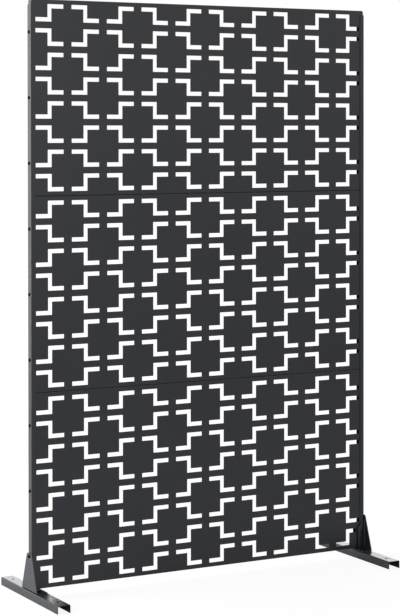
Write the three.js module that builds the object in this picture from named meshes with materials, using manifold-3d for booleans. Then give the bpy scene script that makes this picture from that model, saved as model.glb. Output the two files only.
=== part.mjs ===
// Free-standing sheet-metal screen: three slotted trays stacked between two channel posts, on
// two channel feet. Millimetres, +Z up. X = 0 is mid width, Y = 0 is mid depth with the slotted
// face towards -Y, and Z = 0 is the floor.

import * as THREE from 'three';
import { mergeGeometries, mergeVertices } from 'three/addons/utils/BufferGeometryUtils.js';
import Module from 'manifold-3d';

const wasm = await Module();
wasm.setup();

// ---- Driving dimensions ------------------------------------------------------------------

// Screen
const screenWidth = 1200; // over the outsides of the two posts
const panelPitch = 600; // from one tray's bottom edge to the next one's
const panelNames = ['panel_bottom', 'panel_middle', 'panel_top'];
const seamGap = 0.3; // between two stacked trays
const fit = 0.3; // between sheets that lie against each other
const panelLift = 2.5; // trays' bottom edge above the bracket's base

// Tray
const panelSheet = 1.2;
const panelBend = 1.3; // inside radius of its folds

// Slot pattern, the same in each tray
const slotColumns = 10;
const slotRows = 8;
const stroke = 12.8; // width of a slot's three strokes
const sideLand = 17.2; // screen's outer edge to the outermost slots
const footLand = 30; // the same beside the brackets, in the lowest row of all
const endLand = 14.1; // tray's top and bottom edges to the nearest slots
const bridge = 27.3; // metal between two slots in a row
const band = 20.9; // metal between two rows

// Post
const postSheet = 2;
const postBend = 1.5;
const postFrontLeg = 15; // width of the leg in front of the trays
const postRearLeg = 13.5; // width of the leg behind them
const postDepth = 27;
const postTopDrop = 15; // post's top below the trays' top edge
const postClip = 6; // 45 degree clip at the post's rear top corner

// Foot
const footLength = 440;
const footWidth = 42;
const footHeight = 25;
const footSheet = 2;
const footBend = 1.5;
const footOverhang = 5.5; // foot's outer wall beyond the post's outside
const anchorHoleRadius = 5;
const anchorInset = 47; // anchor hole's centre from the foot's end

// Bracket
const bracketSheet = 2.5;
const bracketBaseWidth = 36; // from the gusset's outside towards the screen's middle
const gussetFootWidth = 117;
const gussetTopWidth = 36;
const gussetAboveScrew = 9.7; // gusset's top over the middle of the lowest side screw
const gussetCorner = 8;
const cleatWidth = 26; // from the gusset's inside towards the screen's middle
const cleatDrop = 12; // cleat's highest corner below the gusset's top

// Fasteners
const screwsPerTray = 3; // on each side
const screwRadius = 2.5;
const screwHeadRadius = 5.25;
const screwHeadHeight = 3.3;
const screwHeadRim = 1.2; // height of the head's straight rim
const screwHeadFlat = 3.2; // radius of the flat on its crown
const nutFlats = 8;
const nutThickness = 4;
const footBoltRadius = 3;
const footBoltHeadRadius = 5.5;
const footBoltHeadHeight = 3.3;
const footBoltHeadRim = 1.2;
const footBoltHeadFlat = 3.4;
const footNutFlats = 10;
const footNutThickness = 5;
const threadEnd = 1.5; // thread that stands out of a nut
const holeClearance = 0.4; // hole's radius over its bolt's
const threadClearance = 0.25; // nut's bore radius over its bolt's

// Facets, and the length of a cutting tool in thicknesses of the sheet that it passes
const bendSteps = 2; // an arc has two facets for each step
const holeSides = 10;
const boltSides = 12;
const toolReach = 4;

// ---- Places that follow from them --------------------------------------------------------

const postOutside = screenWidth / 2;
const panelOutside = postOutside - postSheet - fit;
const panelHeight = panelPitch - seamGap;
const panelFront = -postDepth / 2 + postSheet + fit;
const panelDepth = postDepth - 2 * postSheet - fit - postBend; // clear of the rear bend
const foldRadius = panelBend + panelSheet;
const foldMiddle = (foldRadius + panelDepth) / 2; // mid depth of a fold's flat, behind the face

const bracketBase = footHeight + fit;
const postBottom = bracketBase + bracketSheet + fit;
const panelBase = bracketBase + bracketSheet + panelLift;
const panelTop = panelBase + (panelNames.length - 1) * panelPitch + panelHeight;
const postTop = panelTop - postTopDrop;

const screwY = panelFront + foldMiddle;
const screwPitch = panelPitch / screwsPerTray;

// Heights of one tray's side screws above its bottom edge
const trayScrewStations = Array.from({ length: screwsPerTray }, (_, i) => (i + 0.5) * screwPitch);

const gussetInside = postOutside + fit;
const gussetOutside = gussetInside + bracketSheet;
const gussetTop = panelBase + trayScrewStations[0] + gussetAboveScrew;
const cleatOutside = postDepth / 2 + fit + bracketSheet; // its outer face, from mid depth
const footCentre = postOutside + footOverhang - footWidth / 2;
const footBoltX = gussetOutside - bracketBaseWidth / 2;
const footBoltY = (cleatOutside + gussetFootWidth / 2) / 2;

// ---- Materials ---------------------------------------------------------------------------

function powderCoat() {
  return new THREE.MeshStandardMaterial({ color: 0x38383b, roughness: 0.45, metalness: 0.1 });
}

function blackSteel() {
  return new THREE.MeshStandardMaterial({ color: 0x141415, roughness: 0.35, metalness: 0.7 });
}

function zincSteel() {
  return new THREE.MeshStandardMaterial({ color: 0xa4a6a8, roughness: 0.35, metalness: 0.9 });
}

// ---- Solids ------------------------------------------------------------------------------

function toSolid(geometry) {
  const bare = geometry.clone();
  bare.deleteAttribute('normal');
  bare.deleteAttribute('uv');
  const merged = mergeVertices(bare);
  return new wasm.Manifold(new wasm.Mesh({
    numProp: 3,
    vertProperties: merged.attributes.position.array,
    triVerts: Uint32Array.from(merged.index.array),
  }));
}

function toGeometry(solid) {
  const mesh = solid.getMesh();
  const geometry = new THREE.BufferGeometry();
  geometry.setAttribute('position', new THREE.BufferAttribute(mesh.vertProperties, 3));
  geometry.setIndex(new THREE.BufferAttribute(mesh.triVerts, 1));
  geometry.computeVertexNormals();
  return geometry;
}

function join(geometries) {
  return geometries.map(toSolid).reduce((whole, next) => whole.add(next));
}

function cut(solid, geometries) {
  return geometries.map(toSolid).reduce((rest, tool) => rest.subtract(tool), solid);
}

// The same solid with X reversed, its triangles turned to face out again
function mirrored(geometry) {
  const copy = geometry.clone().scale(-1, 1, 1);
  const order = copy.index.array;
  for (let i = 0; i < order.length; i += 3) {
    [order[i + 1], order[i + 2]] = [order[i + 2], order[i + 1]];
  }
  copy.computeVertexNormals();
  return copy;
}

// An outline in X and Z, thickened from y = 0 to y = depth
function upright(shape, depth) {
  const options = { depth, bevelEnabled: false, curveSegments: bendSteps };
  const geometry = new THREE.ExtrudeGeometry(shape, options);
  geometry.rotateX(Math.PI / 2);
  geometry.translate(0, depth, 0);
  return geometry;
}

// A drill through one sheet, centred on the origin along one axis
function drill(radius, sheet, axis) {
  const geometry = new THREE.CylinderGeometry(radius, radius, toolReach * sheet, holeSides);
  if (axis === 'x') geometry.rotateZ(Math.PI / 2);
  if (axis === 'z') geometry.rotateX(Math.PI / 2);
  return geometry;
}

function polygon(points) {
  return new THREE.Shape(points.map(([x, y]) => new THREE.Vector2(x, y)));
}

// ---- Folded sheet ------------------------------------------------------------------------

// Cross-section of a sheet with one fold: the face runs along X at y = 0 from x = -lap to the
// bend, and the fold stands at x = bend + sheet and ends at y = depth
function foldSection(lap, sheet, bend, depth) {
  const outer = bend + sheet;
  const section = new THREE.Shape();
  section.moveTo(-lap, 0);
  section.lineTo(0, 0);
  section.absarc(0, outer, outer, -Math.PI / 2, 0, false);
  section.lineTo(outer, depth);
  section.lineTo(bend, depth);
  section.absarc(0, outer, bend, 0, -Math.PI / 2, true);
  section.lineTo(-lap, sheet);
  section.closePath();
  return section;
}

// Cross-section of a channel: its web lies at y = 0, centred on x = 0, and its two legs hang
// down from it
function channelSection(web, leftLeg, rightLeg, sheet, bend) {
  const half = web / 2;
  const outer = bend + sheet;
  const section = new THREE.Shape();
  section.moveTo(half - sheet, -rightLeg);
  section.lineTo(half, -rightLeg);
  section.absarc(half - outer, -outer, outer, 0, Math.PI / 2, false);
  section.absarc(-half + outer, -outer, outer, Math.PI / 2, Math.PI, false);
  section.lineTo(-half, -leftLeg);
  section.lineTo(-half + sheet, -leftLeg);
  section.absarc(-half + outer, -outer, bend, Math.PI, Math.PI / 2, true);
  section.absarc(half - outer, -outer, bend, Math.PI / 2, 0, true);
  section.closePath();
  return section;
}

// A cross-section in X and Y, drawn out along Z from z = 0
function drawnOut(section, length) {
  const options = { depth: length, bevelEnabled: false, curveSegments: bendSteps };
  return new THREE.ExtrudeGeometry(section, options);
}

// ---- Slotted tray ------------------------------------------------------------------------

// One stepped slot: a level stroke to the left, a riser and a level stroke to the right, which
// lies higher, or lower where climb is -1. Left and right are its reach from the riser's middle.
function steppedSlot(centre, left, right, height, climb) {
  const half = stroke / 2;
  const corners = [
    [-left, -height / 2],
    [half, -height / 2],
    [half, height / 2 - stroke],
    [right, height / 2 - stroke],
    [right, height / 2],
    [-half, height / 2],
    [-half, -height / 2 + stroke],
    [-left, -height / 2 + stroke],
  ];
  return polygon(corners.map(([x, z]) => [centre.x + x, centre.y + climb * z]));
}

// The slots of one tray. Neighbours mirror each other, so four of them frame a square of metal.
// The outermost slots of the lowest row end at lowestLand from the screen's outer edge.
function slotPattern(lowestLand) {
  const patternWidth = screenWidth - 2 * sideLand;
  const patternHeight = panelHeight - 2 * endLand;
  const reach = (patternWidth - (slotColumns - 1) * bridge) / slotColumns;
  const height = (patternHeight - (slotRows - 1) * band) / slotRows;
  const slots = [];
  for (let row = 0; row < slotRows; row += 1) {
    const shorter = row === slotRows - 1 ? lowestLand - sideLand : 0;
    const z = patternHeight / 2 - height / 2 - row * (height + band);
    for (let column = 0; column < slotColumns; column += 1) {
      const x = -patternWidth / 2 + reach / 2 + column * (reach + bridge);
      const left = reach / 2 - (column === 0 ? shorter : 0);
      const right = reach / 2 - (column === slotColumns - 1 ? shorter : 0);
      const climb = (row + column) % 2 === 0 ? 1 : -1;
      slots.push(steppedSlot(new THREE.Vector2(x, z), left, right, height, climb));
    }
  }
  return slots;
}

// A tray's face between its four bend lines, with all its slots, centred on the origin
function trayFace(lowestLand) {
  const width = 2 * (panelOutside - foldRadius);
  const height = panelHeight - 2 * foldRadius;
  const plate = new THREE.BoxGeometry(width, panelSheet, height);
  plate.translate(0, panelSheet / 2, 0);
  const cutters = slotPattern(lowestLand).map((slot) => upright(slot, toolReach * panelSheet));
  const pattern = mergeGeometries(cutters).translate(0, -panelSheet, 0);
  return toGeometry(cut(toSolid(plate), [pattern]));
}

// One fold of the tray along +X with its bolt holes, reaching a little way into the face.
// It ends at the bend lines of its neighbours, which leaves the small notch in each corner.
function trayFold(length, stations) {
  const lap = panelSheet;
  const strip = drawnOut(foldSection(lap, panelSheet, panelBend, panelDepth), length);
  strip.translate(0, 0, -length / 2);
  const drills = stations.map((station) => {
    const tool = drill(screwRadius + holeClearance, panelSheet, 'x');
    return tool.translate(foldRadius - panelSheet / 2, foldMiddle, station);
  });
  return toGeometry(cut(toSolid(strip), drills));
}

function makeTray(lowestLand) {
  const right = panelOutside - foldRadius;
  const top = panelHeight / 2 - foldRadius;
  const sideStations = trayScrewStations.map((station) => station - panelHeight / 2);
  const folds = [
    { length: 2 * top, stations: sideStations, turn: 0, reach: right },
    { length: 2 * top, stations: sideStations.map((z) => -z), turn: Math.PI, reach: right },
    { length: 2 * right, stations: [0], turn: -Math.PI / 2, reach: top },
    { length: 2 * right, stations: [0], turn: Math.PI / 2, reach: top },
  ];
  const pieces = folds.map(({ length, stations, turn, reach }) => {
    const fold = trayFold(length, stations);
    return fold.translate(reach, 0, 0).rotateY(turn);
  });
  return toGeometry(join([trayFace(lowestLand), ...pieces]));
}

// ---- Post, foot and bracket, all for the right-hand side ---------------------------------

// Channel that the trays' edges stand in, with its web on the outside
function makePost() {
  const section = channelSection(postDepth, postRearLeg, postFrontLeg, postSheet, postBend);
  const channel = drawnOut(section, postTop - postBottom);
  channel.rotateZ(-Math.PI / 2);
  channel.translate(postOutside, 0, postBottom);
  const drills = panelNames.flatMap((_, tray) => trayScrewStations.map((station) => {
    const tool = drill(screwRadius + holeClearance, postSheet, 'x');
    return tool.translate(postOutside - postSheet / 2, screwY, panelBase + tray * panelPitch + station);
  }));
  const clipSide = Math.SQRT2 * postClip;
  const clip = new THREE.BoxGeometry(2 * postRearLeg, clipSide, clipSide);
  clip.rotateX(Math.PI / 4);
  clip.translate(postOutside - postRearLeg / 2, postDepth / 2, postTop);
  return toGeometry(cut(toSolid(channel), [...drills, clip]));
}

// Inverted U channel, open at both ends and underneath
function makeFoot() {
  const section = channelSection(footWidth, footHeight, footHeight, footSheet, footBend);
  const channel = upright(section, footLength);
  channel.translate(footCentre, -footLength / 2, footHeight);
  const anchorY = footLength / 2 - anchorInset;
  const drills = [-1, 1].flatMap((side) => [
    drill(anchorHoleRadius, footSheet, 'z').translate(footCentre, side * anchorY, footHeight),
    drill(footBoltRadius + holeClearance, footSheet, 'z')
      .translate(footBoltX, side * footBoltY, footHeight),
  ]);
  return toGeometry(cut(toSolid(channel), drills));
}

// Side plate of the bracket: wide at the foot, narrow and round-cornered at the top
function makeGusset() {
  const bottom = gussetFootWidth / 2;
  const top = gussetTopWidth / 2;
  const height = gussetTop - bracketBase;
  const lean = Math.atan2(bottom - top, height);
  const cornerY = top - gussetCorner * Math.tan((Math.PI / 2 - lean) / 2);
  const cornerZ = height - gussetCorner;
  const outline = new THREE.Shape();
  outline.moveTo(-bottom, 0);
  outline.lineTo(bottom, 0);
  outline.absarc(cornerY, cornerZ, gussetCorner, lean, Math.PI / 2, false);
  outline.absarc(-cornerY, cornerZ, gussetCorner, Math.PI / 2, Math.PI - lean, false);
  outline.closePath();
  const plate = upright(outline, bracketSheet);
  plate.rotateZ(-Math.PI / 2);
  return plate.translate(gussetInside, 0, bracketBase);
}

// Plate that holds the post's front or rear, with a top edge that falls at 45 degrees from
// the gusset, whose middle plane it runs into
function makeCleat(side) {
  const inner = gussetInside - cleatWidth;
  const outer = gussetInside + bracketSheet / 2;
  const tall = gussetTop - cleatDrop;
  const short = tall - (outer - inner);
  const outline = polygon([[inner, bracketBase], [outer, bracketBase], [outer, tall], [inner, short]]);
  const plate = upright(outline, bracketSheet);
  const middle = side * (cleatOutside - bracketSheet / 2);
  return plate.translate(0, middle - bracketSheet / 2, 0);
}

function makeBracket() {
  const base = new THREE.BoxGeometry(bracketBaseWidth, gussetFootWidth, bracketSheet);
  base.translate(gussetOutside - bracketBaseWidth / 2, 0, bracketBase + bracketSheet / 2);
  const drills = [-1, 1].map((side) => {
    const tool = drill(footBoltRadius + holeClearance, bracketSheet, 'z');
    return tool.translate(footBoltX, side * footBoltY, bracketBase);
  });
  const screwHole = drill(screwRadius + holeClearance, bracketSheet, 'x');
  screwHole.translate(gussetInside, screwY, panelBase + trayScrewStations[0]);
  const body = join([base, makeGusset(), makeCleat(-1), makeCleat(1)]);
  return toGeometry(cut(body, [...drills, screwHole]));
}

// ---- Fasteners ---------------------------------------------------------------------------

// Button-head bolt along Y: the head sits above y = 0 and the shank reaches below it
function makeBolt(radius, length, head) {
  const profile = [
    [0, -length],
    [radius, -length],
    [radius, 0],
    [head.radius, 0],
    [head.radius, head.rim],
    [head.flat, head.height],
    [0, head.height],
  ].map(([r, y]) => new THREE.Vector2(r, y));
  return new THREE.LatheGeometry(profile, boltSides);
}

const screwHead = {
  radius: screwHeadRadius,
  height: screwHeadHeight,
  rim: screwHeadRim,
  flat: screwHeadFlat,
};

const footBoltHead = {
  radius: footBoltHeadRadius,
  height: footBoltHeadHeight,
  rim: footBoltHeadRim,
  flat: footBoltHeadFlat,
};

// Hexagon nut from z = 0 to its thickness
function makeNut(flats, thickness, boltRadius) {
  const corner = flats / Math.sqrt(3);
  const sides = Array.from({ length: 6 }, (_, i) => (i * Math.PI) / 3);
  const outline = polygon(sides.map((angle) => [corner * Math.cos(angle), corner * Math.sin(angle)]));
  const bore = new THREE.Path();
  bore.absarc(0, 0, boltRadius + threadClearance, 0, 2 * Math.PI, true);
  outline.holes = [bore];
  const options = { depth: thickness, bevelEnabled: false, curveSegments: holeSides / 2 };
  return new THREE.ExtrudeGeometry(outline, options);
}

// ---- Assembly ----------------------------------------------------------------------------

const screen = new THREE.Group();

function place(parent, name, geometry, material, position = [0, 0, 0], rotation = [0, 0, 0]) {
  const mesh = new THREE.Mesh(geometry, material);
  mesh.name = name;
  mesh.position.set(...position);
  mesh.rotation.set(...rotation);
  parent.add(mesh);
}

function addTrays() {
  const trays = new THREE.Group();
  trays.position.set(0, panelFront, panelBase + panelHeight / 2);
  panelNames.forEach((name, tray) => {
    const geometry = makeTray(tray === 0 ? footLand : sideLand);
    place(trays, name, geometry, powderCoat(), [0, 0, tray * panelPitch]);
  });
  screen.add(trays);
}

function addSheetMetalSides() {
  const makers = { post: makePost, foot: makeFoot, bracket: makeBracket };
  for (const [name, make] of Object.entries(makers)) {
    const geometry = make();
    place(screen, `${name}_right`, geometry, powderCoat());
    place(screen, `${name}_left`, mirrored(geometry), powderCoat());
  }
}

// Screws through post and tray on both sides, counted from the bottom; the lowest one also
// passes the bracket's gusset
function addSideScrews() {
  const grip = postSheet + fit + panelSheet;
  for (const [sideName, side] of [['left', -1], ['right', 1]]) {
    panelNames.forEach((_, tray) => trayScrewStations.forEach((station, i) => {
      const number = tray * screwsPerTray + i + 1;
      const z = panelBase + tray * panelPitch + station;
      const extra = number === 1 ? fit + bracketSheet : 0;
      const length = extra + grip + nutThickness + threadEnd;
      const screw = makeBolt(screwRadius, length, screwHead);
      const headX = side * (postOutside + extra);
      place(screen, `screw_${sideName}_${number}`, screw, blackSteel(),
        [headX, screwY, z], [0, 0, -side * Math.PI / 2]);
      const nut = makeNut(nutFlats, nutThickness, screwRadius);
      const nutX = side * (panelOutside - panelSheet);
      place(screen, `nut_${sideName}_${number}`, nut, zincSteel(),
        [nutX, screwY, z], [0, -side * Math.PI / 2, 0]);
    }));
  }
}

// One bolt and nut at mid width through the two folds that meet at each seam
function addSeamBolts() {
  const length = 2 * panelSheet + seamGap + nutThickness + threadEnd;
  ['lower', 'upper'].forEach((name, seam) => {
    const upperFold = panelBase + (seam + 1) * panelPitch;
    const bolt = makeBolt(screwRadius, length, screwHead);
    place(screen, `seam_bolt_${name}`, bolt, blackSteel(),
      [0, screwY, upperFold + panelSheet], [Math.PI / 2, 0, 0]);
    const nutZ = upperFold - seamGap - panelSheet - nutThickness;
    place(screen, `seam_nut_${name}`, makeNut(nutFlats, nutThickness, screwRadius), zincSteel(),
      [0, screwY, nutZ]);
  });
}

// Two bolts through each bracket's base, with their nuts inside the foot's channel
function addFootBolts() {
  const seat = bracketBase + bracketSheet;
  const nutZ = footHeight - footSheet - footNutThickness;
  const length = seat - nutZ + threadEnd;
  for (const [sideName, side] of [['left', -1], ['right', 1]]) {
    for (const [endName, end] of [['front', -1], ['rear', 1]]) {
      const bolt = makeBolt(footBoltRadius, length, footBoltHead);
      const x = side * footBoltX;
      const y = end * footBoltY;
      place(screen, `foot_bolt_${sideName}_${endName}`, bolt, blackSteel(),
        [x, y, seat], [Math.PI / 2, 0, 0]);
      const nut = makeNut(footNutFlats, footNutThickness, footBoltRadius);
      place(screen, `foot_nut_${sideName}_${endName}`, nut, zincSteel(), [x, y, nutZ]);
    }
  }
}

addTrays();
addSheetMetalSides();
addSideScrews();
addSeamBolts();
addFootBolts();

export default screen;
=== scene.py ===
import math
from collections import namedtuple

import bmesh
import bpy
import numpy as np
from mathutils import Matrix, Vector
from mathutils.geometry import delaunay_2d_cdt


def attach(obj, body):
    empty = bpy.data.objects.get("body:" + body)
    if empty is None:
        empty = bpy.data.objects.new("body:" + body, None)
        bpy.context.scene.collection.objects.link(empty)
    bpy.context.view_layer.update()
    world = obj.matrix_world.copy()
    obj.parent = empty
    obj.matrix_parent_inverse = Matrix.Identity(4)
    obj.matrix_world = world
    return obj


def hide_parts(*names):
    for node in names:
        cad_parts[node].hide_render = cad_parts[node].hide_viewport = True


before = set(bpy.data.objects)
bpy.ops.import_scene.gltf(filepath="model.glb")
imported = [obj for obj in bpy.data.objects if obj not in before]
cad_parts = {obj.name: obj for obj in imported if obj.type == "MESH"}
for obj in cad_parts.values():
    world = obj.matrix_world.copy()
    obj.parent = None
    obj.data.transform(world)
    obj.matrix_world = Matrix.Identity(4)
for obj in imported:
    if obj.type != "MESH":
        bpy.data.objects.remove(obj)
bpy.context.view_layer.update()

# A free-standing sheet-metal screen: three slotted trays stacked between two channel posts, on
# two channel feet. Each piece stands for one solid of the frame, in the same place. The sheet
# metal is cut as flat patterns with rounded cut edges and then folded, and the screws, bolts
# and nuts are turned.

# ---- Driving dimensions in millimetres ---------------------------------------------------

# Of each sheet-metal piece, sheet is the thickness, fold the outside radius of its bends, and
# corner the radius of the corners in its flat pattern.

MM = 0.001  # in metres

screen_half = 600.0  # mid width to the outside of a post
panel_pitch = 600.0  # from one tray's bottom edge to the next one's
panel_names = ("panel_bottom", "panel_middle", "panel_top")
seam_gap = 0.3  # between two stacked trays
fit = 0.3  # between sheets that lie against each other
panel_lift = 2.5  # trays' bottom edge above the brackets' base

# Trays
panel_sheet, panel_fold = 1.2, 2.5
panel_corner, panel_notch = 0.4, 0.4  # the notch goes past the bends
slot_columns, slot_rows, slot_corner = 10, 8, 0.5
stroke = 12.8  # width of a slot's three strokes
bridge, band = 27.3, 20.9  # metal between two slots in a row, and between two rows
side_land, end_land = 17.2, 14.1  # screen's side, and tray's top or bottom, to the nearest slots
foot_land = 30.0  # screen's side to the lowest row of slots, beside the brackets

# Posts
post_half = 13.5  # half their depth
post_sheet, post_fold, post_corner = 2.0, 3.5, 0.6
post_front_leg, post_rear_leg = 15.0, 13.5
post_top_drop = 15.0  # below the trays' top edge
post_clip = 6.0  # 45 degree clip at the rear top corner

# Feet
foot_width, foot_height, foot_length = 42.0, 25.0, 440.0
foot_sheet, foot_fold, foot_corner = 2.0, 3.5, 0.8
foot_overhang = 5.5  # outer wall beyond the post's outside
anchor_radius, anchor_inset = 5.0, 47.0  # hole, and its middle from the foot's end

# Brackets: a base and an upright gusset in one sheet, and two cleats that hold the post
bracket_sheet, bracket_fold, bracket_corner = 2.5, 4.0, 2.0
bracket_half, bracket_width = 58.5, 36.0  # half its length, front to rear
gusset_top_half, gusset_corner = 18.0, 8.0  # half its width at the top
gusset_above_screw = 9.7  # its top over the lowest screw
cleat_width, cleat_drop, cleat_corner = 26.0, 12.0, 0.4  # the drop is from the gusset's top
bead_radius, bead_pitch = 2.6, 1.7  # of the welds, and of their ripples
bead_from_corner, bead_from_tip, bead_from_top = 1.0, 2.0, 4.0  # where they end

# Screws, bolts and nuts. A head's rim is the height of its edge, its socket and the nut's flats
# are measured across the flats, and the thickness is the nut's.
Fastener = namedtuple("Fastener", "name radius head_radius head_height rim socket flats thickness")
m5 = Fastener("m5", radius=2.5, head_radius=5.25, head_height=3.3, rim=1.2, socket=4.0,
              flats=8.0, thickness=4.0)
m6 = Fastener("m6", radius=3.0, head_radius=5.5, head_height=3.3, rim=1.2, socket=4.0,
              flats=10.0, thickness=5.0)
screws_per_tray = 3  # on each side
thread_end = 1.5  # thread that stands out of a nut
thread_pitch, thread_depth = 0.32, 0.61  # shares of the radius and of the pitch
hole_clearance = 0.4  # a hole's radius over its bolt's
nut_bite = 0.05  # nut's bore inside the crests of the thread
nut_face, nut_fall = 0.97, 30  # end face's share of the flats, and degrees from it to the corners

# Steps of the curves
edge_round, edge_steps = 0.25, 2  # the coat rounds every cut edge
fold_steps = 8
turned_sides, turned_sharp = 48, 28  # an edge of over 28 degrees stays sharp
on_line = 1e-6  # a point this close to a fold line lies on it

# ---- Places that follow from them --------------------------------------------------------

panel_height = panel_pitch - seam_gap
panel_half = screen_half - post_sheet - fit
panel_front = post_sheet + fit - post_half
panel_depth = 2 * post_half - post_sheet - fit - post_fold  # clear of the post's rear bend

bracket_base = foot_height + fit
base_top = bracket_base + bracket_sheet
post_bottom = base_top + fit
panel_base = base_top + panel_lift
post_top = panel_base + len(panel_names) * panel_pitch - seam_gap - post_top_drop

screw_y = panel_front + (panel_fold + panel_depth) / 2
screw_pitch = panel_pitch / screws_per_tray
screw_heights = [panel_base + screw_pitch * (i + 0.5)
                 for i in range(len(panel_names) * screws_per_tray)]
screw_hole, bolt_hole = m5.radius + hole_clearance, m6.radius + hole_clearance

foot_centre = screen_half + foot_overhang - foot_width / 2
anchor_y = foot_length / 2 - anchor_inset
gusset_inside = screen_half + fit
gusset_top = screw_heights[0] + gusset_above_screw
cleat_inside = gusset_inside - cleat_width
cleat_far = post_half + fit + bracket_sheet  # its outer face, from mid depth
foot_bolt_x = gusset_inside + bracket_sheet - bracket_width / 2
foot_bolt_y = (cleat_far + bracket_half) / 2


# ---- Nodes -------------------------------------------------------------------------------

class Nodes:
    """The nodes of a material or a world, with short calls to add and link them."""

    def __init__(self, owner):
        owner.use_nodes = True
        self.tree = owner.node_tree

    def add(self, kind, **values):
        node = self.tree.nodes.new(kind)
        for key, value in values.items():
            setattr(node, key, value)
        return node

    def link(self, source, target):
        self.tree.links.new(source, target)

    def feed(self, socket, value):
        """Links a node's output to a socket, or sets the socket's own value."""
        if isinstance(value, bpy.types.NodeSocket):
            self.link(value, socket)
        else:
            socket.default_value = value

    def maths(self, operation, a, b, clamp=False):
        node = self.add("ShaderNodeMath", operation=operation, use_clamp=clamp)
        self.feed(node.inputs[0], a)
        self.feed(node.inputs[1], b)
        return node.outputs[0]

    def studio_rays(self):
        """Whether a ray comes from the camera, and whether it comes from gloss or glass."""
        path = self.add("ShaderNodeLightPath").outputs
        mirrored = self.maths("MAXIMUM", path["Is Glossy Ray"], path["Is Transmission Ray"])
        return path["Is Camera Ray"], mirrored


class Finish(Nodes):
    """A material of the pieces. Its patterns lie in the pieces' own coordinates, in metres."""

    def __init__(self, name):
        self.material = bpy.data.materials.new(name)
        super().__init__(self.material)
        self.shader = self.tree.nodes["Principled BSDF"]
        self.place = self.add("ShaderNodeTexCoord").outputs["Object"]

    def noise(self, scale, detail, roughness=0.5):
        """Scale is in grains per metre."""
        node = self.add("ShaderNodeTexNoise")
        node.inputs["Scale"].default_value = scale
        node.inputs["Detail"].default_value = detail
        node.inputs["Roughness"].default_value = roughness
        self.link(self.place, node.inputs["Vector"])
        return node.outputs["Fac"]

    def ramp(self, source, stops):
        """Colours or greys between two stops, each of them (place, grey or (r, g, b))."""
        node = self.add("ShaderNodeValToRGB")
        ramp = node.color_ramp
        for element, (at, colour) in zip(ramp.elements, stops):
            element.position = at
            rgb = colour if isinstance(colour, tuple) else (colour,) * 3
            element.color = (*rgb, 1)
        self.link(source, node.inputs["Fac"])
        return node.outputs["Color"]

    def mix(self, share, a, b, blend="MIX"):
        """From colour a to colour b by a share. A colour is an output or (r, g, b)."""
        share_socket, a_socket, b_socket, mixed = 0, 6, 7, 2
        node = self.add("ShaderNodeMix", data_type="RGBA", blend_type=blend)
        self.feed(node.inputs[share_socket], share)
        for socket, colour in ((a_socket, a), (b_socket, b)):
            self.feed(node.inputs[socket], (*colour, 1) if isinstance(colour, tuple) else colour)
        return node.outputs[mixed]

    def bump(self, height, distance, strength=1.0, after=None):
        """Distance is in metres. After is the normal of a coarser bump."""
        node = self.add("ShaderNodeBump")
        node.inputs["Strength"].default_value = strength
        node.inputs["Distance"].default_value = distance
        self.link(height, node.inputs["Height"])
        if after is not None:
            self.link(after, node.inputs["Normal"])
        return node.outputs["Normal"]


# ---- Materials ---------------------------------------------------------------------------

def powder_coat():
    """Charcoal coat: fine grain, thin along cut edges, a little dust on top, slightly wavy."""
    n = Finish("powder_coat")
    dark, light = (0.0068, 0.0083, 0.0140), (0.0100, 0.0118, 0.0188)
    bare, dusty, dusty_rough = (0.02, 0.0205, 0.025), (0.21, 0.2, 0.185), (0.75, 0.75, 0.75)
    colour = n.ramp(n.noise(2.3, 3), [(0.3, dark), (0.7, light)])
    grain = n.ramp(n.noise(1500, 1), [(0.42, 0.8), (0.6, 1.2)])
    colour = n.mix(0.55, colour, grain, "MULTIPLY")
    edge = n.add("ShaderNodeAttribute", attribute_name="edge").outputs["Fac"]
    thin = n.maths("MULTIPLY", edge, n.ramp(n.noise(60, 3), [(0.35, 0.0), (0.7, 0.6)]))
    colour = n.mix(thin, colour, bare)
    facing = n.add("ShaderNodeSeparateXYZ")
    n.link(n.add("ShaderNodeNewGeometry").outputs["Normal"], facing.inputs[0])
    upward = n.ramp(facing.outputs["Z"], [(0.55, 0.0), (0.98, 1.0)])
    dust = n.maths("MULTIPLY", upward, n.ramp(n.noise(55, 5, 0.65), [(0.42, 0.0), (0.8, 0.08)]))
    n.link(n.mix(dust, colour, dusty), n.shader.inputs["Base Color"])
    rough = n.ramp(n.noise(7, 4), [(0.3, 0.27), (0.7, 0.33)])
    n.link(n.mix(dust, rough, dusty_rough), n.shader.inputs["Roughness"])
    n.shader.inputs["IOR"].default_value = 1.52
    wave = n.bump(n.noise(3.1, 1), 0.0005)
    peel = n.bump(n.noise(520, 2), 0.00002, 0.5, wave)
    n.link(n.bump(n.noise(2600, 1), 0.00001, 0.4, peel), n.shader.inputs["Normal"])
    return n.material


def black_steel():
    """Blackened steel, dull and nearly without a reflection."""
    n = Finish("black_steel")
    dark, worn = (0.0015, 0.0015, 0.0017), (0.005, 0.0046, 0.0044)
    colour = n.ramp(n.noise(900, 4, 0.6), [(0.3, dark), (0.75, worn)])
    n.link(colour, n.shader.inputs["Base Color"])
    n.link(n.ramp(n.noise(700, 4), [(0.3, 0.5), (0.75, 0.7)]), n.shader.inputs["Roughness"])
    n.shader.inputs["Specular IOR Level"].default_value = 0.04
    n.link(n.bump(n.noise(1800, 3), 0.00002, 0.6), n.shader.inputs["Normal"])
    return n.material


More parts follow.
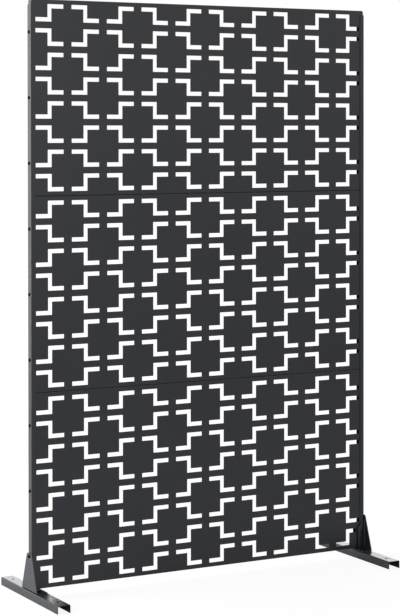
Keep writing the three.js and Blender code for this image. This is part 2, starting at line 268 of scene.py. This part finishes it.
def zinc_steel():
    """Zinc plating with a faintly mottled tint."""
    n = Finish("zinc_steel")
    tint = n.ramp(n.noise(320, 3), [(0.3, (0.42, 0.44, 0.47)), (0.7, (0.56, 0.56, 0.54))])
    dull = n.ramp(n.noise(1400, 4, 0.65), [(0.35, 0.75), (0.65, 1.0)])
    n.link(n.mix(1.0, tint, dull, "MULTIPLY"), n.shader.inputs["Base Color"])
    n.link(n.ramp(n.noise(950, 4), [(0.3, 0.24), (0.75, 0.46)]), n.shader.inputs["Roughness"])
    n.shader.inputs["Metallic"].default_value = 1.0
    n.link(n.bump(n.noise(2200, 3), 0.00002, 0.5), n.shader.inputs["Normal"])
    return n.material


coat, black, zinc = powder_coat(), black_steel(), zinc_steel()


# ---- Objects -----------------------------------------------------------------------------

def add_object(name, mesh, material):
    mesh.materials.append(material)
    obj = bpy.data.objects.new(name, mesh)
    bpy.context.scene.collection.objects.link(obj)
    return obj


def add_sheet_metal(name, verts, normals, faces, edge):
    """An object from points in millimetres, with its faces turned to agree with the normals."""
    ends = np.array([(f[0], f[len(f) // 4], f[len(f) // 2], f[3 * len(f) // 4]) for f in faces])
    a, b, c, d = (verts[ends[:, k]] for k in range(4))
    agree = np.sum(np.cross(c - a, d - b) * normals[ends].sum(1), 1) >= 0
    faces = [face if same else face[::-1] for face, same in zip(faces, agree)]
    mesh = bpy.data.meshes.new(name)
    mesh.from_pydata((verts * MM).tolist(), [], faces)
    mesh.polygons.foreach_set("use_smooth", [True] * len(mesh.polygons))
    mesh.normals_split_custom_set_from_vertices(normals.tolist())
    layer = mesh.attributes.new("edge", "FLOAT", "POINT")
    layer.data.foreach_set("value", edge.astype(np.float32))
    return add_object(name, mesh, coat)


def stand_for(obj, slot, *nodes):
    """Has a piece ride the root body in place of nodes of the frame. The slot is not used."""
    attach(obj, "root")
    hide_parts(*nodes)


# ---- Flat patterns -----------------------------------------------------------------------

def rounded(corners, radius=0, steps=3):
    """A closed outline with its corners rounded. A corner may carry a radius of its own."""
    nearly_straight = math.pi - 0.01
    points = []
    for i, corner in enumerate(corners):
        here = np.array(corner[:2], float)
        back = np.array(corners[i - 1][:2], float) - here
        ahead = np.array(corners[(i + 1) % len(corners)][:2], float) - here
        back /= np.linalg.norm(back)
        ahead /= np.linalg.norm(ahead)
        r = corner[2] if len(corner) > 2 else radius
        opening = math.acos(max(-1.0, min(1.0, back @ ahead)))
        if r == 0 or opening > nearly_straight:
            points.append(here)
            continue
        reach = r / math.tan(opening / 2)
        middle = (back + ahead) / np.linalg.norm(back + ahead) * r / math.sin(opening / 2)
        first, last = back * reach - middle, ahead * reach - middle
        turn = math.atan2(first[0] * last[1] - first[1] * last[0], first @ last)
        for k in range(steps + 1):
            a = turn * k / steps
            spun = np.array([first[0] * math.cos(a) - first[1] * math.sin(a),
                             first[0] * math.sin(a) + first[1] * math.cos(a)])
            points.append(here + middle + spun)
    return np.array(points)


def circle(x, y, radius, steps=24):
    a = np.arange(steps) * 2 * math.pi / steps
    return np.stack([x + radius * np.cos(a), y + radius * np.sin(a)], 1)


def signed_area(loop):
    """Positive where the outline runs anticlockwise."""
    x, y = loop.T
    return 0.5 * float(np.sum(x * np.roll(y, -1) - np.roll(x, -1) * y))


def crossed(loop, lines):
    """The outline with a point added where it crosses a fold line, and which points lie on one."""
    touching = -1e-9  # nearer to zero, an end of the stretch lies on the line
    points, marks = [], []
    for i in range(len(loop)):
        a, b = loop[i], loop[(i + 1) % len(loop)]
        points.append(a)
        marks.append(any(abs(a[axis] - at) < on_line for axis, at in lines))
        found = []
        for axis, at in lines:
            if (a[axis] - at) * (b[axis] - at) < touching:
                found.append((at - a[axis]) / (b[axis] - a[axis]))
        for t in sorted(found):
            points.append(a + (b - a) * t)
            marks.append(True)
    return np.array(points), np.array(marks)


def mitres(loop, marks, lines):
    """At each point of an outline, the way outward for a unit of width, and the direction that
    its cut edge faces. A point on a fold line moves along that line."""
    along = np.roll(loop, -1, 0) - loop
    along /= np.linalg.norm(along, axis=1)[:, None]
    out = np.stack([along[:, 1], -along[:, 0]], 1)
    before = np.roll(out, 1, 0)
    mitre = (out + before) / (1 + np.sum(out * before, 1))[:, None]
    facing = (out + before) / np.linalg.norm(out + before, axis=1)[:, None]
    for i in np.nonzero(marks)[0]:
        axis = next(a for a, at in lines if abs(loop[i][a] - at) < on_line)
        straight = np.zeros(2)
        straight[1 - axis] = 1 / facing[i][1 - axis]
        mitre[i] = straight
    return mitre, facing


def edge_profile(thickness):
    """Rings over a cut edge, from the outer face to the inner one: inset, depth, and how far the
    normal points outward and through the sheet."""
    rings = []
    for k in range(edge_steps + 1):
        a = math.pi / 2 * k / edge_steps
        inset, depth = edge_round * (1 - math.sin(a)), edge_round * (1 - math.cos(a))
        rings.append((inset, depth, math.sin(a), -math.cos(a)))
    return rings + [(inset, thickness - depth, outward, -through)
                    for inset, depth, outward, through in rings[::-1]]


def filled(points, outline_edges, lines):
    """Triangles between closed outlines, which end at the fold lines."""
    everywhere, nearness = 0, 1e-7  # the triangles within the holes are dropped below
    edges = list(outline_edges)
    for axis, at in lines:
        hit = np.nonzero(np.abs(points[:, axis] - at) < on_line)[0]
        hit = hit[np.argsort(points[hit, 1 - axis])]
        edges.extend((int(a), int(b)) for a, b in zip(hit[::2], hit[1::2]))
    flat = [Vector(p) for p in points.tolist()]
    _, _, found, sources, _, _ = delaunay_2d_cdt(flat, edges, [], everywhere, nearness)
    triangles = np.array([[sources[i][0] for i in triangle] for triangle in found])
    middle = points[triangles].mean(1)
    inside = np.zeros(len(middle), bool)
    for a, b in outline_edges:
        (xa, ya), (xb, yb) = points[a], points[b]
        if ya == yb:
            continue
        spans = (ya > middle[:, 1]) != (yb > middle[:, 1])
        inside ^= spans & (middle[:, 0] < (xb - xa) * (middle[:, 1] - ya) / (yb - ya) + xa)
    return triangles[inside]


def sheet(outer, holes, thickness, lines=()):
    """A flat sheet with rounded cut edges: points (u, v, depth), normals, faces and an edge mark.
    Lines are the (axis, place) at which it bends later, so that its faces end there."""
    verts, normals, faces, edge = [], [], [], []
    caps, cap_edges, cap_index = [], [], []
    rings = edge_profile(thickness)
    for number, loop in enumerate([outer, *holes]):
        anticlockwise = number == 0  # and the holes run clockwise
        if (signed_area(loop) > 0) != anticlockwise:
            loop = loop[::-1]
        loop, marks = crossed(loop, lines)
        mitre, facing = mitres(loop, marks, lines)
        count, base, start = len(loop), len(verts), len(caps)
        for inset, depth, outward, through in rings:
            verts.extend(np.column_stack([loop - mitre * inset, np.full(count, depth)]))
            normals.extend(np.column_stack([facing * outward, np.full(count, through)]))
            edge.extend([1.0 if outward > 0 else 0.0] * count)
        for ring in range(len(rings) - 1):
            here, there = base + ring * count, base + (ring + 1) * count
            for i in range(count):
                j = (i + 1) % count
                faces.append((here + i, here + j, there + j, there + i))
        caps.extend((loop - mitre * edge_round).tolist())
        cap_edges.extend((start + i, start + (i + 1) % count) for i in range(count))
        cap_index.extend((base + i, base + (len(rings) - 1) * count + i) for i in range(count))
    triangles = filled(np.array(caps), cap_edges, lines)
    cap_index = np.array(cap_index)
    for cap in (0, 1):
        faces.extend(map(tuple, cap_index[triangles, cap].tolist()))
    return np.array(verts), np.array(normals), faces, np.array(edge)


# ---- Folds -------------------------------------------------------------------------------

def fold(along, depth, normal_along, normal_depth, start, radius):
    """Folds a flat sheet by a quarter turn: along runs on its outer face, depth goes into it."""
    past = along - start
    angle = np.clip(past / radius, 0, math.pi / 2)
    straight = np.maximum(past - radius * math.pi / 2, 0)
    flat = past < 0
    new_along = np.where(flat, along, start + (radius - depth) * np.sin(angle))
    new_depth = np.where(flat, depth, radius - (radius - depth) * np.cos(angle) + straight)
    c, s = np.cos(angle), np.sin(angle)
    return (new_along, new_depth,
            normal_along * c - normal_depth * s, normal_along * s + normal_depth * c)


def fold_both_ways(along, depth, normal_along, normal_depth, start, radius):
    """The same on both sides of the middle."""
    sign = np.where(along < 0, -1.0, 1.0)
    new_along, new_depth, n_along, n_depth = fold(
        np.abs(along), depth, normal_along * sign, normal_depth, start, radius)
    return new_along * sign, new_depth, n_along * sign, n_depth


def fold_lines(axis, start, radius):
    """The (axis, place) of each line at which a fold on either side of the middle bends."""
    places = [start + radius * math.pi / 2 * k / fold_steps for k in range(fold_steps + 1)]
    return [(axis, sign * place) for place in places for sign in (-1, 1)]


# ---- Slotted trays -----------------------------------------------------------------------

def stepped_slot(x, z, left, right, height, climb):
    """Two level strokes with an upright one between them. Climb is 1 or -1."""
    half = stroke / 2
    corners = [(-left, -height / 2), (half, -height / 2), (half, height / 2 - stroke),
               (right, height / 2 - stroke), (right, height / 2), (-half, height / 2),
               (-half, -height / 2 + stroke), (-left, -height / 2 + stroke)]
    return rounded([(x + cx, z + climb * cz) for cx, cz in corners], slot_corner, steps=2)


def slot_pattern(lowest_land):
    """Rows from the top down, in which each slot is the mirror of its neighbours. The lowest row
    starts at its own distance from the screen's sides."""
    width = 2 * (screen_half - side_land)
    tall = panel_height - 2 * end_land
    reach = (width - (slot_columns - 1) * bridge) / slot_columns
    height = (tall - (slot_rows - 1) * band) / slot_rows
    slots = []
    for row in range(slot_rows):
        shorter = lowest_land - side_land if row == slot_rows - 1 else 0
        z = tall / 2 - height / 2 - row * (height + band)
        for column in range(slot_columns):
            x = -width / 2 + reach / 2 + column * (reach + bridge)
            left = reach / 2 - (shorter if column == 0 else 0)
            right = reach / 2 - (shorter if column == slot_columns - 1 else 0)
            climb = 1 if (row + column) % 2 == 0 else -1
            slots.append(stepped_slot(x, z, left, right, height, climb))
    return slots


def make_tray(name, number):
    """A slotted face with a fold on each of its four sides, and a notch at each corner."""
    middle_z = panel_base + panel_height / 2
    bend_x, bend_z = panel_half - panel_fold, panel_height / 2 - panel_fold
    turn, flat = panel_fold * math.pi / 2, panel_depth - panel_fold
    notch_x, notch_z = bend_x - panel_notch, bend_z - panel_notch
    end_x, end_z = bend_x + turn + flat, bend_z + turn + flat
    outline = []
    for sx, sz in ((1, -1), (1, 1), (-1, 1), (-1, -1)):
        corner = [(notch_x * sx, end_z * sz), (notch_x * sx, notch_z * sz),
                  (end_x * sx, notch_z * sz)]
        outline += corner if sx * sz < 0 else corner[::-1]
    holes = slot_pattern(foot_land if number == 0 else side_land)
    hole_x, hole_z = bend_x + turn + flat / 2, bend_z + turn + flat / 2
    for z in screw_heights[:screws_per_tray]:
        holes += [circle(sign * hole_x, z - middle_z, screw_hole) for sign in (-1, 1)]
    holes += [circle(0, sign * hole_z, screw_hole) for sign in (-1, 1)]
    lines = fold_lines(0, bend_x, panel_fold) + fold_lines(1, bend_z, panel_fold)
    outline = rounded(outline, panel_corner, steps=2)
    verts, normals, faces, edge = sheet(outline, holes, panel_sheet, lines)
    x, z, y = verts.T
    nx, nz, ny = normals.T
    in_side = np.abs(x) > bend_x
    side_x, side_y, side_nx, side_ny = fold_both_ways(x, y, nx, ny, bend_x, panel_fold)
    level_z, level_y, level_nz, level_ny = fold_both_ways(z, y, nz, ny, bend_z, panel_fold)
    verts = np.where(in_side, [side_x, side_y, z], [x, level_y, level_z]).T
    normals = np.where(in_side, [side_nx, side_ny, nz], [nx, level_ny, level_nz]).T
    verts += (0, panel_front, middle_z + number * panel_pitch)
    return add_sheet_metal(name, verts, normals, faces, edge)


# ---- Posts and feet: side is 1 for the right-hand one and -1 for the left ------------------

def make_post(name, side):
    """A channel with its web on the outside. Its flat pattern has u -> -Y and v -> Z."""
    bend = post_half - post_fold
    turn = post_fold * math.pi / 2
    front = bend + turn + post_front_leg - post_fold
    rear = -(bend + turn + post_rear_leg - post_fold)
    clip_start = post_half - post_clip
    clip = [(-clip_start, post_top, 0)]
    for k in range(fold_steps + 1):
        across = bend + post_fold * math.sin(math.pi / 2 * k / fold_steps)
        clip.append((-(bend + turn * k / fold_steps), post_top - (across - clip_start), 0))
    outline = [(rear, post_bottom), (front, post_bottom), (front, post_top), *clip,
               (rear, post_top - post_clip)]
    holes = [circle(-screw_y, z, screw_hole) for z in screw_heights]
    outline, lines = rounded(outline, post_corner), fold_lines(0, bend, post_fold)
    verts, normals, faces, edge = sheet(outline, holes, post_sheet, lines)
    u, v, w = verts.T
    nu, nv, nw = normals.T
    along, depth, n_along, n_depth = fold_both_ways(u, w, nu, nw, bend, post_fold)
    verts = np.stack([side * (screen_half - depth), -along, v], 1)
    normals = np.stack([-side * n_depth, -n_along, nv], 1)
    return add_sheet_metal(name, verts, normals, faces, edge)


def make_foot(name, side):
    """A channel with its web on top. Its flat pattern has u -> X and v -> Y."""
    bend = foot_width / 2 - foot_fold
    reach = bend + foot_fold * math.pi / 2 + foot_height - foot_fold
    half = foot_length / 2
    outline = [(-reach, -half), (reach, -half), (reach, half), (-reach, half)]
    holes = [circle(0, end * anchor_y, anchor_radius, steps=40) for end in (-1, 1)]
    holes += [circle(foot_bolt_x - foot_centre, end * foot_bolt_y, bolt_hole) for end in (-1, 1)]
    outline, lines = rounded(outline, foot_corner), fold_lines(0, bend, foot_fold)
    verts, normals, faces, edge = sheet(outline, holes, foot_sheet, lines)
    u, v, w = verts.T
    nu, nv, nw = normals.T
    along, depth, n_along, n_depth = fold_both_ways(u, w, nu, nw, bend, foot_fold)
    verts = np.stack([side * (foot_centre + along), v, foot_height - depth], 1)
    normals = np.stack([side * n_along, nv, -n_depth], 1)
    return add_sheet_metal(name, verts, normals, faces, edge)


# ---- Brackets ----------------------------------------------------------------------------

def weld(start, end, away):
    """A rippled fillet bead from start to end. Away points out of the corner that it fills."""
    start, end = np.array(start, float), np.array(end, float)
    length = np.linalg.norm(end - start)
    ahead = (end - start) / length
    away = np.array(away, float) / np.linalg.norm(away)
    across = np.cross(ahead, away)
    rows_per_ripple, sides, ripple_share, tip_radius = 6, 10, 0.07, 0.02
    rows = int(length / bead_pitch * rows_per_ripple)
    verts, normals, faces = [], [], []
    for row in range(rows + 1):
        s = length * row / rows
        ripple = 1 - ripple_share + ripple_share * abs(math.sin(math.pi * s / bead_pitch))
        from_end = min(1.0, min(s, length - s) / bead_radius)
        taper = math.sqrt(max(0.0, 1 - (1 - from_end) ** 2))
        r = max(tip_radius, bead_radius * taper * ripple)
        for k in range(sides):
            a = 2 * math.pi * k / sides
            out = away * math.cos(a) + across * math.sin(a)
            verts.append(start + ahead * s + out * r)
            normals.append(out)
    for row in range(rows):
        here, there = row * sides, (row + 1) * sides
        for k in range(sides):
            n = (k + 1) % sides
            faces.append((here + k, here + n, there + n, there + k))
    faces.append(tuple(range(sides)))
    faces.append(tuple(rows * sides + k for k in range(sides)))
    normals[:sides] = [-ahead] * sides
    normals[-sides:] = [ahead] * sides
    return np.array(verts), np.array(normals), faces, np.zeros(len(verts))


def folded_gusset():
    """Base and gusset in one sheet: u -> X and then up, v -> Y, depth -> up and then inward."""
    bend = bracket_width - bracket_fold
    rise = bend + bracket_fold * math.pi / 2 - bracket_fold - bracket_base  # from Z to u
    slope = (bracket_half - gusset_top_half) / (gusset_top - bracket_base)
    waist = bracket_half - slope * bracket_fold
    outline = [(0, -bracket_half, bracket_corner), (bend, -bracket_half, 0),
               (rise + bracket_base + bracket_fold, -waist, 0),
               (rise + gusset_top, -gusset_top_half, gusset_corner)]
    outline += [(u, -v, r) for u, v, r in outline[::-1]]
    base_x = gusset_inside + bracket_sheet - bracket_width
    holes = [circle(foot_bolt_x - base_x, end * foot_bolt_y, bolt_hole) for end in (-1, 1)]
    holes.append(circle(rise + screw_heights[0], screw_y, screw_hole))
    outline, lines = rounded(outline, steps=8), fold_lines(0, bend, bracket_fold)
    verts, normals, faces, edge = sheet(outline, holes, bracket_sheet, lines)
    u, v, w = verts.T
    nu, nv, nw = normals.T
    along, depth, n_along, n_depth = fold(u, w, nu, nw, bend, bracket_fold)
    verts = np.stack([base_x + along, v, bracket_base + depth], 1)
    return verts, np.stack([n_along, nv, n_depth], 1), faces, edge


def cleat(end):
    """Plate in front of the post or behind it: u -> X, v -> Z, depth -> towards the post. Its top
    edge falls at 45 degrees, from the drop below the gusset's top at the gusset's mid plane."""
    tall = gusset_top - cleat_drop - bracket_sheet / 2
    outline = [(cleat_inside, base_top, cleat_corner), (gusset_inside, base_top, cleat_corner),
               (gusset_inside, tall, cleat_corner),
               (cleat_inside, tall - cleat_width, bracket_corner)]
    verts, normals, faces, edge = sheet(rounded(outline, steps=5), [], bracket_sheet)
    u, v, w = verts.T
    nu, nv, nw = normals.T
    verts = np.stack([u, end * (cleat_far - w), v], 1)
    return verts, np.stack([nu, -end * nw, nv], 1), faces, edge


def make_bracket(name, side):
    """The base with its gusset, the two cleats and their weld beads."""
    parts = [folded_gusset()]
    for end in (-1, 1):
        y = end * cleat_far
        bead_top = gusset_top - cleat_drop - bead_from_top
        parts.append(cleat(end))
        parts.append(weld((gusset_inside, y, base_top + bead_from_corner),
                          (gusset_inside, y, bead_top), (-1, end, 0)))
        parts.append(weld((cleat_inside + bead_from_tip, y, base_top),
                          (gusset_inside - bead_from_corner, y, base_top), (0, end, 1)))
    verts, normals, part_faces, edge = zip(*parts)
    faces, base = [], 0
    for part, part_verts in zip(part_faces, verts):
        faces += [tuple(i + base for i in face) for face in part]
        base += len(part_verts)
    return add_sheet_metal(name, np.concatenate(verts) * (side, 1, 1),
                           np.concatenate(normals) * (side, 1, 1), faces,
                           np.concatenate(edge))


# ---- Screws, bolts and nuts --------------------------------------------------------------

def hexagon(flats):
    """Radius of a hexagon at each of the turned points."""
    a = np.arange(turned_sides) * 2 * math.pi / turned_sides
    return flats / 2 / np.cos((a % (math.pi / 3)) - math.pi / 6)


def turned(name, rings, place, axis, material):
    """A turned piece along an axis. A ring is (radius or radii, height or heights). The first and
    the last close to a point where their radius is 0, and otherwise they join each other."""
    a = np.arange(turned_sides) * 2 * math.pi / turned_sides
    verts, faces = [], []
    for radius, height in rings:
        r = np.broadcast_to(radius, turned_sides)
        h = np.broadcast_to(height, turned_sides)
        verts.extend(np.stack([r * np.cos(a), r * np.sin(a), h], 1))
    closed = np.max(rings[0][0]) > 0
    for row in range(len(rings) if closed else len(rings) - 1):
        here, there = row * turned_sides, (row + 1) % len(rings) * turned_sides
        for k in range(turned_sides):
            n = (k + 1) % turned_sides
            faces.append((here + k, here + n, there + n, there + k))
    turn = Vector((0, 0, 1)).rotation_difference(Vector(axis)).to_matrix()
    verts = np.array(verts) @ np.array(turn).T + place
    mesh = bpy.data.meshes.new(name)
    mesh.from_pydata((verts * MM).tolist(), [], faces)
    mesh.validate()
    bm = bmesh.new()
    bm.from_mesh(mesh)
    bmesh.ops.remove_doubles(bm, verts=bm.verts, dist=1e-6)
    bmesh.ops.recalc_face_normals(bm, faces=bm.faces)
    bm.to_mesh(mesh)
    bm.free()
    mesh.polygons.foreach_set("use_smooth", [True] * len(mesh.polygons))
    mesh.set_sharp_from_angle(angle=math.radians(turned_sharp))
    return add_object(name, mesh, material)


def head_rings(size):
    """A button head, from the drill point under its socket over the crown to its seat at 0."""
    socket, mouth, crown = hexagon(size.socket), 0.6 * size.socket, 0.56 * size.head_radius
    socket_floor, drill_point, broken_edge = 0.38 * size.head_height, 0.5, 0.2
    rings = [(0, socket_floor - drill_point), (socket, socket_floor),
             (socket, size.head_height - broken_edge), (mouth, size.head_height),
             (crown, size.head_height)]
    steps, bulge_up, bulge_out = 8, 0.22, 0.066
    for k in range(1, steps + 1):
        t = k / steps
        bulge = math.sin(math.pi * t)
        rings.append((crown + (size.head_radius - crown) * t + bulge_out * bulge,
                      size.head_height + (size.rim - size.head_height) * t + bulge_up * bulge))
    rings = [(np.minimum(r, size.head_radius), h) for r, h in rings]
    return rings + [(size.head_radius, broken_edge), (size.head_radius - broken_edge, 0)]


def thread_rings(size, length):
    """A plain shank and five turns of thread, which fades in and ends in a chamfer."""
    turns, rows_per_turn, fade_rows, chamfer_rows = 5, 6, 4, 5
    pitch = thread_pitch * size.radius
    deepest = thread_depth * pitch
    begin = turns * pitch - length
    rings = [(size.radius, 0), (size.radius, begin)]
    a = np.arange(turned_sides) / turned_sides
    rows = turns * rows_per_turn
    for row in range(1, rows):
        height = begin - row * turns * pitch / rows
        depth = deepest * np.abs(2 * ((height / pitch + a) % 1) - 1)
        fade = min(1.0, row / fade_rows)
        chamfer = max(0.0, (row - (rows - chamfer_rows)) / chamfer_rows) * deepest
        rings.append((np.minimum(size.radius - depth * fade, size.radius - chamfer), height))
    return rings + [(size.radius - deepest, -length), (0, -length)]


def add_bolt(node, size, length, place, axis):
    """A bolt with its seat at its place. The axis points out of its head."""
    rings = head_rings(size) + thread_rings(size, length)
    bolt = turned(f"{node}_{size.name}", rings, place, axis, black)
    stand_for(bolt, "black_steel", node)


def add_nut(node, size, place, axis):
    """A hexagon nut with chamfered corners, from its place to its thickness along the axis."""
    bore, mouth = size.radius - nut_bite, 0.35
    wide, face = hexagon(size.flats), nut_face * size.flats / 2
    fall = (wide - face) * math.tan(math.radians(nut_fall))
    rings = [(bore, mouth), (bore + mouth, 0), (face, 0), (wide, fall),
             (wide, size.thickness - fall), (face, size.thickness),
             (bore + mouth, size.thickness), (bore, size.thickness - mouth)]
    nut = turned(f"{node}_{size.name}", rings, place, axis, zinc)
    stand_for(nut, "zinc_steel", node)


# ---- The object --------------------------------------------------------------------------

def add_side_screws(side_name, side):
    """Screws and their nuts from the bottom up. The lowest also passes the bracket's gusset."""
    grip = post_sheet + fit + panel_sheet
    for i, z in enumerate(screw_heights):
        extra = fit + bracket_sheet if i == 0 else 0
        length = extra + grip + m5.thickness + thread_end
        add_bolt(f"screw_{side_name}_{i + 1}", m5, length,
                 (side * (screen_half + extra), screw_y, z), (side, 0, 0))
        add_nut(f"nut_{side_name}_{i + 1}", m5,
                (side * (panel_half - panel_sheet), screw_y, z), (-side, 0, 0))


def add_foot_bolts(side_name, side):
    """Through the bracket's base, with their nuts inside the foot's channel."""
    nut_z = foot_height - foot_sheet - m6.thickness
    for end_name, end in (("front", -1), ("rear", 1)):
        x, y = side * foot_bolt_x, end * foot_bolt_y
        add_bolt(f"foot_bolt_{side_name}_{end_name}", m6, base_top - nut_z + thread_end,
                 (x, y, base_top), (0, 0, 1))
        add_nut(f"foot_nut_{side_name}_{end_name}", m6, (x, y, nut_z), (0, 0, 1))


def add_seam_bolts():
    """One at mid width through the two folds that meet at each seam."""
    length = 2 * panel_sheet + seam_gap + m5.thickness + thread_end
    for seam, name in enumerate(("lower", "upper")):
        upper_fold = panel_base + (seam + 1) * panel_pitch
        nut_z = upper_fold - seam_gap - panel_sheet - m5.thickness
        add_bolt(f"seam_bolt_{name}", m5, length, (0, screw_y, upper_fold + panel_sheet), (0, 0, 1))
        add_nut(f"seam_nut_{name}", m5, (0, screw_y, nut_z), (0, 0, 1))


for number, name in enumerate(panel_names):
    stand_for(make_tray(f"{name}_sheet", number), "powder_coat", name)

for side_name, side in (("left", -1), ("right", 1)):
    post, foot, bracket = f"post_{side_name}", f"foot_{side_name}", f"bracket_{side_name}"
    stand_for(make_post(f"{post}_channel", side), "powder_coat", post)
    stand_for(make_foot(f"{foot}_channel", side), "powder_coat", foot)
    stand_for(make_bracket(f"{bracket}_welded", side), "powder_coat", bracket)
    add_side_screws(side_name, side)
    add_foot_bolts(side_name, side)

add_seam_bolts()


# ---- Floor, light and camera, in metres --------------------------------------------------

def floor_material():
    """Pale grey to the light, and white to the camera with a faint shadow near the object. In
    reflections it is its grey with a little white, but none where something is close above: there
    a painted shade takes the white out."""
    lit_grey, white_near, fade_from, fade_per_metre = 0.8, 0.85, 1.2, 0.4
    mirror_white, painted_shade_reach, painted_shade_offset, painted_shade_gain = 0.15, 0.07, 0.03, 12.0
    material = bpy.data.materials.new("floor")
    n = Nodes(material)
    shader = n.tree.nodes["Principled BSDF"]
    shader.inputs["Base Color"].default_value = (lit_grey, lit_grey, lit_grey, 1)
    shader.inputs["Roughness"].default_value = 0.8
    camera, mirrored = n.studio_rays()
    # Painted shade: ambient occlusion takes the white glow out of the floor's reflections where
    # something stands close above it, so it reads dark there
    painted_shade_ao = n.add("ShaderNodeAmbientOcclusion", samples=6)
    painted_shade_ao.inputs["Distance"].default_value = painted_shade_reach
    bare = n.maths("SUBTRACT", painted_shade_ao.outputs["AO"], painted_shade_offset)
    bare = n.maths("MULTIPLY", bare, painted_shade_gain, clamp=True)
    mirror_glow_with_painted_shade = n.maths("MULTIPLY", n.maths("MULTIPLY", mirrored, mirror_white), bare)
    away = n.add("ShaderNodeVectorMath", operation="LENGTH")
    n.link(n.add("ShaderNodeNewGeometry").outputs["Position"], away.inputs[0])
    far = n.maths("SUBTRACT", away.outputs["Value"], fade_from)
    far = n.maths("MULTIPLY", far, fade_per_metre, clamp=True)
    white = n.maths("ADD", n.maths("MULTIPLY", far, 1 - white_near), white_near)
    share = n.maths("MAXIMUM", n.maths("MULTIPLY", camera, white), mirror_glow_with_painted_shade)
    glow = n.add("ShaderNodeEmission")
    glow.inputs["Strength"].default_value = 1.06
    mix = n.add("ShaderNodeMixShader")
    n.link(share, mix.inputs[0])
    n.link(shader.outputs[0], mix.inputs[1])
    n.link(glow.outputs[0], mix.inputs[2])
    n.link(mix.outputs[0], n.tree.nodes["Material Output"].inputs["Surface"])
    return material


def add_floor():
    """A wide disc at Z = 0, with its rings closer together near the middle."""
    rings, sides, reach = 12, 64, 60.0
    verts = [(0.0, 0.0, 0.0)]
    for ring in range(1, rings + 1):
        r = reach * (ring / rings) ** 2
        verts += [(r * math.cos(2 * math.pi * k / sides), r * math.sin(2 * math.pi * k / sides), 0)
                  for k in range(sides)]
    faces = [(0, 1 + k, 1 + (k + 1) % sides) for k in range(sides)]
    for ring in range(rings - 1):
        a, b = 1 + ring * sides, 1 + (ring + 1) * sides
        faces += [(a + k, b + k, b + (k + 1) % sides, a + (k + 1) % sides) for k in range(sides)]
    mesh = bpy.data.meshes.new("floor")
    mesh.from_pydata(verts, [], faces)
    floor = add_object("floor", mesh, floor_material())


def add_world():
    """White to the camera and in reflections, and a dimmer white as a light."""
    light_share = 0.5
    world = bpy.data.worlds.new("studio")
    bpy.context.scene.world = world
    n = Nodes(world)
    seen = n.maths("MAXIMUM", *n.studio_rays())
    strength = n.maths("ADD", n.maths("MULTIPLY", seen, 1 - light_share), light_share)
    background = n.tree.nodes["Background"]
    background.inputs["Color"].default_value = (1, 1, 1, 1)
    n.link(strength, background.inputs["Strength"])


def add_lamp(name, place, target, size, power):
    """A softbox, with its power in watts, that lights the object and shows in its gloss, but not
    to the camera."""
    data = bpy.data.lights.new(name, "AREA")
    data.shape = "RECTANGLE"
    data.size, data.size_y = size
    data.energy = power
    lamp = bpy.data.objects.new(name, data)
    lamp.location = place
    lamp.rotation_euler = (Vector(target) - Vector(place)).to_track_quat("-Z", "Y").to_euler()
    lamp.visible_camera = False
    bpy.context.scene.collection.objects.link(lamp)


def add_camera():
    """The photograph's view. Its focal length and the foot of its optical axis are in pixels."""
    width, height = 400, 616
    focal, axis_across, axis_down = 1946.269, 290.5, 158.5
    place = (-2.91007, -5.51025, 1.42975)
    yaw, pitch, roll = 0.530491, 0.014338, -0.000394
    level = Matrix(((1, 0, 0), (0, 0, -1), (0, 1, 0)))  # rows are right, down and ahead
    look = Matrix.Rotation(roll, 3, "Z") @ Matrix.Rotation(pitch, 3, "X")
    right, down, ahead = look @ level @ Matrix.Rotation(yaw, 3, "Z")
    data = bpy.data.cameras.new("camera")
    data.sensor_fit = "VERTICAL"
    data.sensor_height = 36
    data.lens = focal * data.sensor_height / height
    data.shift_x = (width / 2 - axis_across) / height
    data.shift_y = (axis_down - height / 2) / height
    data.clip_end = 200
    camera = bpy.data.objects.new("camera", data)
    turn = Matrix((right, -down, -ahead)).transposed()
    camera.matrix_world = Matrix.Translation(place) @ turn.to_4x4()
    bpy.context.scene.collection.objects.link(camera)
    bpy.context.scene.camera = camera


add_floor()
add_world()
add_lamp("left_softbox", (-4.4, 0.6, 1.6), (-0.4, 0, 0.7), (2.2, 2.4), 170)
add_lamp("back_left_softbox", (-2.7, 4.8, 1.0), (-0.6, 0, 0.7), (2.0, 3.0), 21)
add_lamp("back_softbox", (2.4, 4.6, 1.5), (0, 0, 0.3), (3.5, 2.2), 48)
add_lamp("top_softbox", (-2.2, 1.6, 3.4), (-0.9, 0.6, 0), (2.0, 2.0), 60)
add_lamp("front_softbox", (1.1, -6.2, 1.6), (-0.2, 0, 1.2), (1.4, 2.4), 8)
add_camera()
bpy.context.scene.view_settings.view_transform = "Standard"
